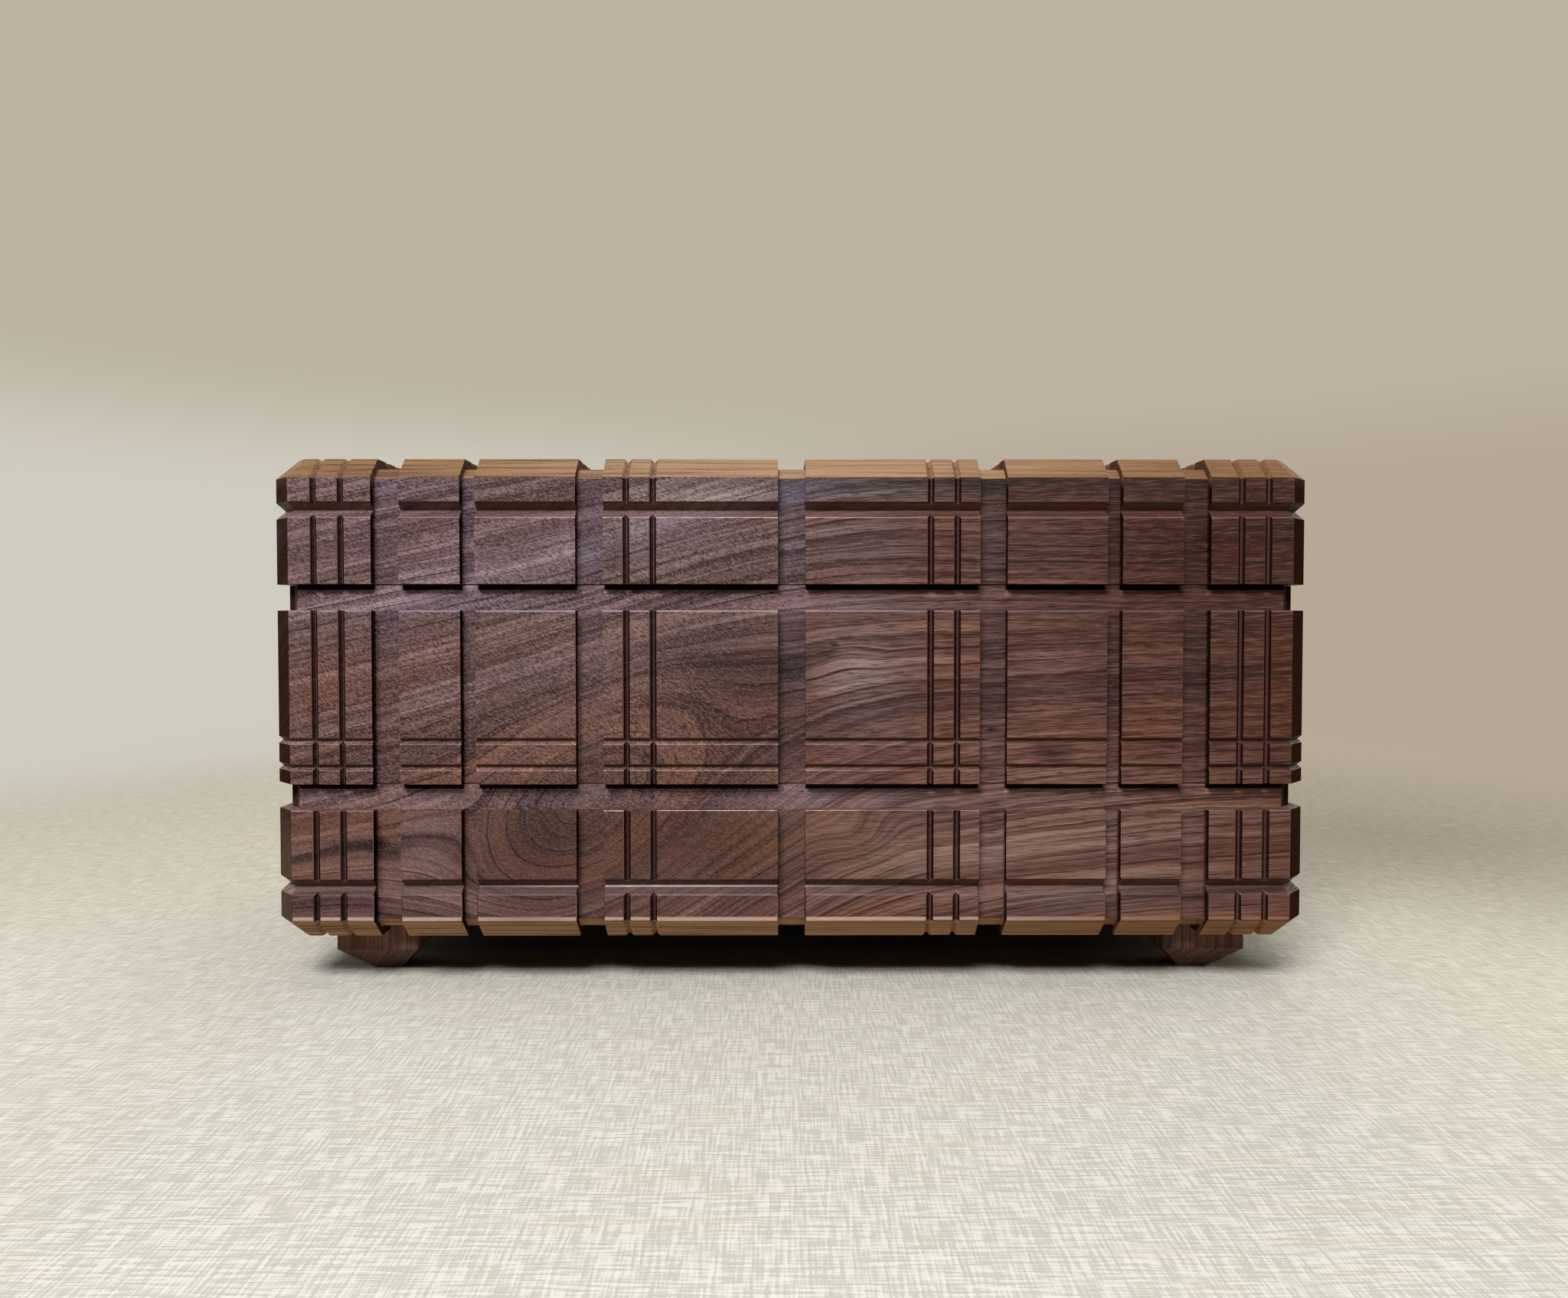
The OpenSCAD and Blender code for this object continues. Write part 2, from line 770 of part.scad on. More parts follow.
module lid_runner_left() {
    start = slide_gap - in_y;
    inner = slide_gap + lid_runner_t - in_x;
    color(maple) union() {
        block([-in_x, start, lid_z], [inner, start + lid_runner_len, lid_z + lid_runner_up]);
        block([slide_gap - in_x, start, lid_z - lid_runner_down],
            [inner, start + lid_runner_len, lid_z + eps]);
        translate([0, start + lid_runner_len / 2, 0]) tongue_block(lid_runner_len / 2, 0);
    }
}

module lid_runner_right() {
    mirror([1, 0, 0]) lid_runner_left();
}

base_left();
base_right();
base_back();
base_panel();
front_rail();
back_rail();
drawer_guide_left();
drawer_guide_right();
base_dowels();
foot_front_left();
foot_front_right();
foot_back_left();
foot_back_right();
foot_screws();
drawer_front();
drawer_left();
drawer_right();
drawer_back();
drawer_bottom();
cam_pin();
middle_front();
middle_back();
middle_left();
middle_right();
middle_floor();
middle_dowels();
cam_plate();
cam_screws();
runner_front();
runner_back();
till_rail_front();
till_rail_back();
till_tray();
left_key();
left_key_plate();
left_key_screw();
right_key();
right_key_plate();
right_key_screw();
lid_front();
lid_back();
lid_left();
lid_right();
lid_top();
lid_cleat_front();
lid_cleat_back();
lid_runner_left();
lid_runner_right();
lid_dowels();
lid_fixed_panel();
lid_sliding_panel();
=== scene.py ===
"""Walnut puzzle box: materials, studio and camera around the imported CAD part."""

import math

import bmesh
import bpy
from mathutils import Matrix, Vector

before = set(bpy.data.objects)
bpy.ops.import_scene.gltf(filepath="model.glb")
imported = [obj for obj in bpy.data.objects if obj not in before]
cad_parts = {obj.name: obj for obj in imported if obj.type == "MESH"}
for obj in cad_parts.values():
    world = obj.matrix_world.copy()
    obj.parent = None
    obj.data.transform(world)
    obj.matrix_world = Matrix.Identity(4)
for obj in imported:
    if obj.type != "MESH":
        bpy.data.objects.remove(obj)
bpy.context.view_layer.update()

# Picture and camera
PICTURE_WIDTH = 2048
SENSOR = 36.0
FRONT_SCALE = 4.479
FOCAL_PIXELS = 1343.0
CAMERA_X = -0.0035
CAMERA_Z = 0.1080
PITCH_DOWN = 0.0245
YAW_RIGHT = 0.0042
FRONT_Y = -0.100

# How far a hill reaches, in its radii
HILL_REACH = 1.8

# Millimetres in a metre, for grain written in millimetres
MM = 1000.0

# Heights on the boards are counted from this far above the cloth, in millimetres
DATUM = 1.0

# The carved body, in millimetres: half its width and depth, its bevels, and heights on its front
HALF_WIDTH = 152.5
HALF_DEPTH = 100
BEVEL = 6.1
CORNER = HALF_WIDTH - BEVEL
FRONT_BEVEL = HALF_DEPTH - BEVEL
UNDERSIDE = 13.7
LOWER_BEVEL = UNDERSIDE + BEVEL
LOWER_SEAM = 60.1
FINE_GROOVES = 68.85
UPPER_SEAM = 118.6
UPPER_BEVEL = 155.7 - BEVEL
LEVEL_CHANNEL = 7.7

# The height that the cool and warm tones of painted light are laid out round, in millimetres
WAIST = 60

# The upright channels: centre and half width, in millimetres
CHANNELS = [
    (0, 4), (-59, 4), (59, 4), (-94.4, 2.2), (94.4, 2.2), (-118.4, 4), (118.4, 4),
]


class Socket:
    """A shader value that can stand in a Python expression."""

    def __init__(self, finish, link):
        self.finish = finish
        self.link = link

    def __add__(self, other):
        return self.finish.maths("ADD", self, other)

    __radd__ = __add__

    def __sub__(self, other):
        return self.finish.maths("SUBTRACT", self, other)

    def __rsub__(self, other):
        return self.finish.maths("SUBTRACT", other, self)

    def __mul__(self, other):
        return self.finish.maths("MULTIPLY", self, other)

    __rmul__ = __mul__

    def __truediv__(self, other):
        return self.finish.maths("DIVIDE", self, other)

    def __rtruediv__(self, other):
        return self.finish.maths("DIVIDE", other, self)


class Finish:
    """A material in the making."""

    def __init__(self, name):
        self.material = bpy.data.materials.new(name)
        self.material.use_nodes = True
        self.tree = self.material.node_tree
        self.tree.nodes.clear()

    def node(self, kind, settings=None, values=None, output=0):
        """Adds a node: its settings first, then the values or links of its sockets."""
        made = self.tree.nodes.new(kind)
        for name, value in (settings or {}).items():
            if name == "stops":
                set_stops(made.color_ramp, value)
            elif name == "mapping":
                set_mapping(made.texture_mapping, *value)
            else:
                setattr(made, name, value)
        for name, value in (values or {}).items():
            if isinstance(value, Socket):
                self.tree.links.new(value.link, made.inputs[name])
            else:
                made.inputs[name].default_value = value
        return Socket(self, made.outputs[output]) if len(made.outputs) else None

    def maths(self, operation, *values):
        return self.node("ShaderNodeMath", {"operation": operation}, dict(enumerate(values)))

    def parts(self, point):
        """The x, y and z of a vector."""
        split = self.node("ShaderNodeSeparateXYZ", values={0: point}).link.node
        return [Socket(self, out) for out in split.outputs]

    def place(self):
        """x, y and z in millimetres in the box's own frame, which moves with the piece."""
        here = self.node("ShaderNodeTexCoord", output=3)
        return [part * MM for part in self.parts(here)]

    def facing(self):
        """The x, y and z of the surface's normal."""
        return self.parts(self.node("ShaderNodeTexCoord", output=1))

    def vector(self, x, y, z):
        return self.node("ShaderNodeCombineXYZ", values={0: x, 1: y, 2: z})

    def noise(self, x, y, z, detail=2.0, roughness=0.5):
        """Cloudy noise with grains of about 1 in x, y and z."""
        values = {
            "Vector": self.vector(x, y, z),
            "Scale": 1.0,
            "Detail": detail,
            "Roughness": roughness,
        }
        return self.node("ShaderNodeTexNoise", values=values)

    def size(self, value):
        """A value without its sign."""
        return self.maths("ABSOLUTE", value)

    def rise(self, value, low, high):
        """0 below low, 1 above high and smooth between; high may be the smaller."""
        values = {0: value, 1: min(low, high), 2: max(low, high), 3: 0.0, 4: 1.0}
        if low > high:
            values[3], values[4] = 1.0, 0.0
        return self.node("ShaderNodeMapRange", {"interpolation_type": "SMOOTHSTEP"}, values)

    def band(self, value, start, full, fading, end):
        """0 up to start, 1 from full to fading, and 0 again from end on."""
        return self.rise(value, start, full) * self.rise(value, end, fading)

    def ramp(self, value, stops):
        return self.node("ShaderNodeValToRGB", {"stops": stops}, {0: value})

    def mix(self, mask, first, second, blend="MIX"):
        settings = {"data_type": "RGBA", "blend_type": blend}
        return self.node("ShaderNodeMix", settings, {0: mask, 6: first, 7: second}, output=2)

    def paint(self, mask, colour, *screen_values):
        """Covers a colour with a tone, as much as mask says."""
        return self.mix(mask, colour, tone(*screen_values))

    def tint(self, mask, colour, *screen_values):
        """Multiplies a colour by a tone, as much as mask says."""
        return self.mix(mask, colour, tone(*screen_values), "MULTIPLY")

    def bump(self, height, distance, strength=1.0):
        return self.node(
            "ShaderNodeBump", values={"Height": height, "Distance": distance, "Strength": strength}
        )

    def principled(self, **values):
        named = {name.replace("_", " ").title().replace("Ior", "IOR"): v for name, v in values.items()}
        return self.node("ShaderNodeBsdfPrincipled", values=named)

    def shade(self, **values):
        """Ends the material in one Principled surface."""
        self.finish(self.principled(**values))
        return self.material

    def finish(self, surface):
        self.node("ShaderNodeOutputMaterial", values={"Surface": surface})


def set_stops(ramp, stops):
    while len(ramp.elements) < len(stops):
        ramp.elements.new(0.5)
    for element, (position, colour) in zip(ramp.elements, stops):
        element.position = position
        element.color = colour


def set_mapping(mapping, centre, radii, tilt):
    """Puts a texture's centre and size on the face of a board."""
    mapping.vector_type = "TEXTURE"
    mapping.translation = (*centre, 0)
    mapping.rotation = (0, 0, math.radians(tilt))
    mapping.scale = (radii[0] * HILL_REACH, radii[1] * HILL_REACH, 1)


def tone(red, green, blue):
    """A linear colour from screen values of 0 to 255."""
    return tuple((v / 255.0) ** 2.2 for v in (red, green, blue)) + (1.0,)


def hill(finish, face, centre, radii, tilt):
    """1 at centre and smoothly down to 0 round it, longest along tilt, in millimetres and degrees."""
    settings = {"gradient_type": "SPHERICAL", "mapping": (centre, radii, tilt)}
    near = finish.node("ShaderNodeTexGradient", settings, {"Vector": face}, output=1)
    return finish.rise(near, 0.0, 1.0)


# Walnut: [centre, radii, height, tilt] of each place where the figure runs round something
FRONT_HILLS = [
    [(19.5, 44), (9, 6), 6, 0],
    [(15, 99), (9, 5), -3, 0],
]
BACK_HILLS = [
    [(45, 95), (75, 22), 58, -14],
    [(-70, 40), (40, 18), -30, 10],
]
END_HILLS = [[(20, 80), (80, 24), 60, 8]]
TOP_HILLS = [
    [(20, 10), (150, 30), 70, 3],
    [(-90, -60), (60, 20), -32, 0],
]

# Cathedral figure, nested ovals that the grain parts round: centre, reach to the left, reach to the
# right, half width and tilt
FRONT_OVALS = [(-62, 54), 33, 46, 22, 34]

# How fast the ovals' hold on the grain outside them fades, and how close their own rings stand
OVAL_REACH = 1.8
OVAL_RINGS = 1.25

# Climb of the grain to the right round them, where it starts and ends, between which heights it
# lessens and by what part
CLIMB = 34.0
CLIMB_FROM_TO = (-70, 40)
CLIMB_EASES = (50, 135)
CLIMB_LOSS = 0.6

# Width of a yearly ring
RING_WIDTH = 4.6

# Places whose colour is multiplied by a tone: [centre, radii, tilt, tone it is multiplied by]; on the
# front they are partly the wood's own colour and partly painted light and shade, block by block
FRONT_AREAS = [
    [(-55, 50), (44, 26), 30, (206, 194, 188)],
    [(58, 147.6), (95, 2.6), 0, (168, 170, 190)],
    [(-24, 146), (24, 3.5), 0, (296, 340, 330)],
    [(26, 145.5), (24, 3), 0, (288, 350, 388)],
    [(-22, 129), (24, 10), 0, (228, 235, 244)],
    # A painted sheen right of the middle of the middle tier
    [(20, 89), (12, 9), 0, (352, 370, 384)],
    [(30, 99.5), (18, 2.6), -4, (306, 320, 336)],
    [(-2, 92), (14, 8), 30, (200, 196, 200)],
    [(20, 40), (26, 12), 0, (286, 311, 300)],
    [(92, 40), (48, 20), 0, (296, 346, 370)],
    [(-22, 44), (22, 12), 0, (206, 190, 168)],
    [(-92, 128), (60, 10), 8, (272, 276, 280)],
    [(78, 90), (8, 11), 0, (300, 304, 306)],
    [(-22, 92), (20, 17), 0, (168, 161, 172)],
    [(21, 90), (16, 17), 0, (214, 238, 252)],
    [(-105, 147), (14, 2.6), 0, (258, 272, 296)],
    [(-105, 43), (12, 10), 0, (298, 318, 342)],
    [(-78, 43), (14, 11), 0, (208, 208, 214)],
    [(78, 25), (20, 3), 0, (268, 292, 300)],
    [(-52, 129), (3.2, 10), 0, (196, 190, 188)],
    [(78, 92), (20, 16), 0, (234, 250, 262)],
    [(125, 129), (32, 12), 0, (251, 212, 181)],
    [(76, 129), (18, 12), 0, (262, 275, 298)],
    [(-108, 56), (40, 5), 0, (222, 230, 236)],
    [(-105, 129), (12, 10), 0, (266, 266, 278)],
    [(21, 129), (16, 10), 0, (250, 272, 302)],
    [(-78, 92), (14, 17), 0, (242, 245, 255)],
    [(143, 92), (6, 18), 0, (270, 240, 206)],
    [(-105, 25), (14, 3), 0, (316, 341, 350)],
    [(75, 68), (22, 10), 0, (282, 296, 304)],
    [(-78, 129), (12, 10), 0, (238, 238, 244)],
    [(-59, 129), (4, 12), 0, (226, 230, 230)],
    [(0, 129), (4, 12), 0, (300, 314, 308)],
    [(59, 129), (4, 12), 0, (294, 301, 310)],
    [(-105, 92), (12, 16), 0, (272, 274, 282)],
    [(-136, 92), (12, 18), 0, (276, 270, 262)],
    [(105, 92), (10, 16), 0, (283, 281, 272)],
    [(75.7, 69.6), (6, 3.2), 0, (150, 140, 140)],
    # A small knot: a dark mark between two painted highlights
    [(13.6, 102.0), (1.5, 0.5), -15, (350, 350, 350)],
    [(12.6, 100.8), (1.6, 0.8), -20, (16, 10, 10)],
    [(14.6, 99.6), (0.8, 0.4), 0, (330, 330, 340)],
    [(58.9, 75.7), (1.6, 0.9), 10, (44, 28, 26)],
    [(-122, 42), (2.6, 1.8), 0, (40, 24, 20)],
    [(-124, 42), (11, 1.6), -4, (120, 100, 96)],
]
BACK_AREAS = [
    [(60, 60), (50, 24), -12, (200, 188, 180)],
    [(-40, 110), (50, 12), 6, (282, 282, 280)],
    [(-88, 52), (2.2, 1.4), 0, (60, 40, 36)],
]
END_AREAS = [
    [(-20, 50), (40, 16), 5, (204, 192, 184)],
    [(40, 120), (40, 12), 0, (276, 276, 276)],
]
TOP_AREAS = [
    [(-50, 30), (80, 16), 2, (204, 190, 182)],
    [(70, -40), (70, 14), -3, (280, 278, 272)],
]
FOOT_AREAS = [
    [(14, -122), (7, 40), 0, (322, 316, 270)],
    [(14, 122), (7, 40), 0, (314, 332, 312)],
    [(2, 0), (5, 200), 0, (228, 206, 172)],
]


class Board:
    """Where a point lies on a board and how its surface faces, as shader values in millimetres."""

    def __init__(self, f, axes):
        """axes says which of x, y and z run along the grain, across it and through the board."""
        self.x, self.y, height = f.place()
        self.z = height - DATUM
        self.above_waist = self.z - WAIST
        self.facing = f.facing()
        order = ["XYZ".index(axis) for axis in axes]
        self.run, self.across, self.deep = [(self.x, self.y, self.z)[i] for i in order]
        self.toward_run = f.size(self.facing[order[0]])
        self.toward_deep = f.size(self.facing[order[2]])
        self.face = f.vector(self.run, self.across, 0)


def smooth(value, low, high):
    """The same curve as Finish.rise, for plain numbers."""
    part = min(max((value - low) / (high - low), 0.0), 1.0)
    return part * part * (3 - 2 * part)


def figure_level(f, board, hills, slope, bend, ovals):
    """Lines of equal level run along the grain, and bend round each hill and the nested ovals."""
    run, across = board.run, board.across
    level = across - run * slope + run * run * bend
    for centre, radii, height, tilt in hills:
        level = level + hill(f, board.face, centre, radii, tilt) * height
    if not ovals:
        return level

    # The grain climbs to the right, most of all low on the board
    left, right = CLIMB_FROM_TO
    low, high = CLIMB_EASES
    level = level - f.rise(run, left, right) * (1 - f.rise(across, low, high) * CLIMB_LOSS) * CLIMB
    x0, z0 = ovals[0]
    start = z0 - x0 * slope + x0 * x0 * bend
    start = start - smooth(x0, left, right) * (1 - smooth(z0, low, high) * CLIMB_LOSS) * CLIMB
    return part_round(f, run, across, level, start, *ovals)


def part_round(f, run, across, level, start, centre, left, right, half_width, tilt):
    """Parts the lines of level round nested ovals, in which they run on as rings from start."""
    turn = math.radians(tilt)
    beside, above = run - centre[0], across - centre[1]
    along = beside * math.cos(turn) + above * math.sin(turn)
    u = f.maths("MAXIMUM", along / right, along / -left)
    v = (above * math.cos(turn) - beside * math.sin(turn)) / half_width
    out = f.node("ShaderNodeVectorMath", {"operation": "LENGTH"}, {0: f.vector(u, v, 0)}, output=1)
    outside = f.maths("POWER", f.maths("MAXIMUM", out, 1.0), OVAL_REACH)
    inside = f.maths("MAXIMUM", 1 - out, 0.0)
    return level - (level - start) / outside + inside * (half_width * OVAL_RINGS)


def streaks_and_rings(f, board, level, side):
    """How light the figure is, from 0 to 1: broad bands, lines, threads and the rings' dark edges."""
    run, across, deep = board.run, board.across, board.deep
    bands = f.noise(run / 260, deep / 60, level / 8, detail=3, roughness=0.55)
    lines = f.noise(run / 110, deep / 30, level / 1.1, detail=3, roughness=0.65)
    threads = f.noise(run / 90, deep / 20, level / 0.5, roughness=0.6)
    uneven = f.noise(run / 400, deep / 90, level / 16, detail=1)
    rings = f.maths("FRACT", level / RING_WIDTH + uneven * 2.2)
    late = f.band(rings, 0.30, 0.95, 0.965, 1.0)
    thin = f.band(rings, 0.88, 0.95, 0.965, 1.0)
    patchy = f.rise(f.noise(run / 70, deep / 60, across / 20, detail=1), 0.38, 0.62)
    broad = f.rise(bands, 0.32, 0.66) * (1 - side * 0.40) + side * 0.20
    shade = broad * 0.44 + f.rise(lines, 0.30, 0.70) * 0.40 + f.rise(threads, 0.32, 0.68) * 0.16
    calm = hill(f, board.face, (-64, 44), (60, 22), 0) * 0.40
    calm = calm + hill(f, board.face, (20, 44), (24, 12), 0) * 0.35
    shade = shade + (0.5 - shade) * calm
    return shade - late * patchy * (1 - calm) * 0.16 - thin * (0.12 + patchy * 0.28)


def pores(f, board, side, tilts):
    """Short dark pores and the wood between them, which is glossier and gets a painted sheen, with a slant
    to the left and to the right.
    """

    def strokes(tilt, length, width, detail):
        turn = math.radians(tilt)
        u = board.run * math.cos(turn) + board.across * math.sin(turn)
        v = board.across * math.cos(turn) - board.run * math.sin(turn)
        return f.noise(u / length, v / width, board.deep / 3, detail=detail, roughness=0.55)

    left, right = tilts
    fine = strokes(left, 1.0, 0.26, 1) * (1 - side) + strokes(right, 5.0, 0.34, 2) * side
    crowd = f.noise(board.run / 7, board.deep / 7, board.across / 3.5, detail=1)
    flecks = f.rise(fine, 0.465, 0.385) * (0.60 + f.rise(crowd, 0.34, 0.62) * 0.40)
    return flecks, f.rise(fine, 0.535, 0.625) * (1 - side * 0.5)


def heart_colours(f, shade, hues, side, wander, board, areas, light_tint_share):
    """Brown of the figure, with painted light over it: cooler and lighter to the upper left for cool light
    from the left, redder to the right and darker to the upper right where the light is warmer and weaker.
    """
    x, height = board.x, board.above_waist
    colour = f.ramp(
        shade,
        [
            (0.02, tone(50, 31, 30)),
            (0.30, tone(86, 60, 56)),
            (0.60, tone(120, 92, 86)),
            (0.96, tone(154, 124, 114)),
        ],
    )
    # Painted light: a cool haze to the upper left, warmer light to the right and painted shade to the
    # upper right; the last argument says how much of it a board gets
    cool = f.rise(height, 0, 70) * f.rise(x, 70, -50)
    golden = f.rise(hues, 0.50, 0.64) * (0.62 - cool * 0.47) * (1 - side * 0.55)
    colour = f.tint(golden, colour, 268, 240, 204)
    colour = f.tint(f.rise(hues, 0.48, 0.36) * 0.75, colour, 222, 218, 242)
    colour = f.tint(cool * light_tint_share, colour, 258, 278, 306)
    colour = f.tint(f.rise(x + wander * 40, -50, 130) * light_tint_share, colour, 240, 213, 193)
    colour = f.tint(f.rise(x + height * 1.2, 60, 240) * light_tint_share, colour, 166, 160, 145)
    # The areas' tones: the wood's own colour, and on the front painted light and shade too
    for centre, radii, tilt, screen_values in areas:
        colour = f.tint(hill(f, board.face, centre, radii, tilt), colour, *screen_values)
    return colour


def lit_bevels(f, board, colour):
    """Painted light on the slanting faces along the top and the bottom: golden for warm light from above
    on the upper bevel, and brighter still for light bounced from the cloth on the lower one, with the
    grain's stripes in it.
    """
    x, z, up = board.x, board.z, board.facing[2]
    rim = f.rise(f.size(x), CORNER - 1.4, CORNER)
    rim = f.maths("MAXIMUM", rim, f.rise(f.size(board.y), FRONT_BEVEL - 1.4, FRONT_BEVEL))
    upper = f.rise(z, UPPER_BEVEL - 0.6, UPPER_BEVEL + 0.2) * f.band(up, 0.3, 0.6, 0.88, 0.96) * rim
    lower = f.band(z, UNDERSIDE - 0.2, UNDERSIDE + 0.1, LOWER_BEVEL - 0.3, LOWER_BEVEL + 0.5)
    lower = lower * f.rise(up, -0.3, -0.6)
    stripes = f.noise(board.run / 50, board.deep / 0.8, board.across / 0.8, detail=3, roughness=0.6)
    bevel_light = f.ramp(stripes, [(0.40, tone(142, 107, 76)), (0.60, tone(168, 133, 98))])
    bevel_light = f.tint(f.rise(x, 30, 120), bevel_light, 214, 203, 182)
    streaks = f.rise(stripes, 0.48, 0.40) * (0.18 + f.rise(x, 10, -60) * 0.42)
    bevel_light = f.paint(streaks, bevel_light, 74, 48, 30)
    yellower = f.tint(f.rise(x, -30, -100), bevel_light, 222, 214, 188)
    # Painted warm light from above on the upper bevel, and brighter painted light bounced from the cloth
    # on the lower one
    colour = f.mix(upper * 0.85, colour, f.tint(1.0, yellower, 231, 235, 239))
    return f.mix(lower * 0.9, colour, f.tint(1.0, bevel_light, 376, 376, 380))


def past_channels(f, run, inward, outward):
    """0 in the upright channels and 1 beside them, turning between two distances from their walls."""
    beside = 1.0
    for centre, half in CHANNELS:
        beside = beside * f.rise(f.size(run - centre), half + inward, half + outward)
    return beside


def channel_floors(f, board, cut, colour, light_tint_share):
    """Painted light and shade in the channels: cooler, greyer painted light towards the top, a little
    darker and cooler to the right, painted light on the level channels' floors, and a painted shadow under
    the overhanging blocks.
    """
    x, z = board.x, board.z
    sunk = f.rise(cut, 2.4, 2.9) * f.rise(board.toward_deep, 0.85, 0.95)
    # Painted cool light on the channel floors towards the top, and a little darker and cooler to the right
    cool_light_in_channels = sunk * f.rise(board.above_waist, -10, 60) * f.rise(x, 150, 40) * light_tint_share
    colour = f.tint(cool_light_in_channels * 0.9, colour, 226, 226, 246)
    colour = f.tint(sunk * f.rise(x, -40, 20) * f.rise(z, 30, 60), colour, 234, 244, 256)
    # Painted light on the floors of the level channels
    upper_light = f.mix(f.rise(x, 0, 90), tone(292, 300, 294), tone(262, 250, 244))
    lower_light = f.mix(f.rise(x, 0, 70), tone(302, 326, 362), tone(302, 302, 290))
    for seam, light in ((UPPER_SEAM, upper_light), (LOWER_SEAM, lower_light)):
        low = seam - LEVEL_CHANNEL
        level_channel = f.band(z, low - 0.2, low, seam + 0.1, seam + 0.3)
        colour = f.mix(level_channel * sunk, colour, light, "MULTIPLY")

    # A painted shadow in a band under the overhanging blocks, with a band of painted light just below it
    under_lid = f.band(z, UPPER_SEAM - 1.9, UPPER_SEAM - 1.5, UPPER_SEAM - 0.1, UPPER_SEAM + 0.2)
    under_middle = f.band(z, LOWER_SEAM - 2.1, LOWER_SEAM - 1.6, LOWER_SEAM - 0.1, LOWER_SEAM + 0.2)
    lit_upper = f.band(z, UPPER_SEAM - 3.9, UPPER_SEAM - 3.0, UPPER_SEAM - 1.9, UPPER_SEAM - 1.3)
    lit_lower = f.band(z, LOWER_SEAM - 3.7, LOWER_SEAM - 2.9, LOWER_SEAM - 1.7, LOWER_SEAM - 1.2)
    covered = sunk * past_channels(f, board.run, -0.3, 0.3)
    colour = f.tint((lit_upper + lit_lower) * covered, colour, 336, 342, 350)
    painted_shadow = (under_lid + under_middle) * covered
    return f.paint(painted_shadow * 0.92, colour, 18, 9, 8), painted_shadow


def cut_edges(f, board, cut, groove, inner, cross, colour):
    """Painted light and shade in the V grooves: brown painted shade on the upper flanks, at the lips and
    in the valleys, and painted light on the lower flanks; and painted highlights and glints on the eased
    edges of all cuts.
    """
    x, z, up = board.x, board.z, board.facing[2]
    over = groove * f.rise(up, -0.45, -0.60)
    below = groove * f.rise(up, 0.45, 0.60)
    small = f.rise(f.size(z - FINE_GROOVES), 6.6, 6.2)
    right = f.rise(x, -40, 90)
    leftward = f.rise(board.facing[0], 0.0, -0.30)
    # Painted shade, brown, on the upper flanks that look down
    colour = f.paint(over * 0.50, colour, 100, 66, 45)
    # Painted light on the lower flanks that look up, cooler on the left; the fine grooves' lower flanks
    # darker to the right
    flank_light = f.mix(f.rise(z, 45, 140), tone(86, 66, 70), tone(120, 90, 86))
    sides = f.mix(right, tone(182, 182, 196), tone(162, 145, 136))
    flank_light = f.mix(1.0, flank_light, sides, "MULTIPLY")
    colour = f.mix(below * (1 - small), colour, f.mix(0.5, colour, flank_light))
    colour = f.tint(below * small * right * 0.7, colour, 190, 176, 170)
    # Painted shade on the flanks of the upright grooves, darker on those that do not face left
    colour = f.mix(cross * 0.82, colour, f.mix(leftward, tone(40, 24, 26), tone(80, 56, 54)))
    # Painted shade along the lips of the grooves
    lip = f.band(cut, 0.20, 0.24, 0.46, 0.62)
    colour = f.paint(lip * cross * 0.92, colour, 16, 6, 6)
    colour = f.paint(lip * over * 0.75, colour, 26, 15, 12)
    # Painted shade in the valleys of the grooves
    bed = f.band(cut, 2.14, 2.20, 2.45, 2.60) + f.band(cut, 0.80, 0.85, 1.15, 1.30)
    colour = f.paint(bed * inner * f.rise(board.toward_deep, 0.97, 0.99) * 0.85, colour, 26, 11, 9)
    # A painted highlight at the root of the low V groove
    root = f.band(cut, 1.98, 2.08, 2.45, 2.60) * f.rise(up, -0.45, -0.20) * inner
    root = root * hill(f, board.face, (-38, 30), (44, 6), 0)
    colour = f.paint(root * 0.80, colour, 250, 236, 240)

    # Painted highlights on the eased edges: palest where they look up near the middle, fainter low down,
    # and painted shade on edges that face left
    edge = f.rise(cut, 0.27, 0.21) * groove
    lit_edge = edge * (0.35 + f.rise(z, 28, 34) * 0.65)
    upward = f.rise(up, 0.10, 0.30)
    pale = (1 - leftward) * (1 - upward * (right * 0.7 + small * 0.3))
    colour = f.paint(lit_edge * pale * 0.40, colour, 160, 126, 114)
    colour = f.paint(edge * leftward * 0.92, colour, 18, 6, 6)
    # Painted highlights along the edges of the upright channels, stronger on the left
    brink = 1 - past_channels(f, board.run, 0.3, 0.5)
    rim = lit_edge * brink * (1 - leftward * 0.7) * (0.24 + f.rise(x, 30, -40) * 0.40)
    colour = f.paint(rim, colour, 176, 154, 152)
    # Painted glints where the edges look up, broken up and strongest near the middle
    near = hill(f, board.face, (-25, 80), (50, 60), 0)
    broken = f.noise(board.run / 2.5, board.across / 9, board.deep / 9)
    glint_spread = near * f.rise(broken, 0.34, 0.60) * (0.25 + f.rise(z, 34, 60) * 0.75)
    glint = lit_edge * f.rise(up, 0.20, 0.35) * (1 - small * 0.8) * (0.10 + glint_spread * 0.80)
    return f.paint(glint, colour, 226, 218, 222)


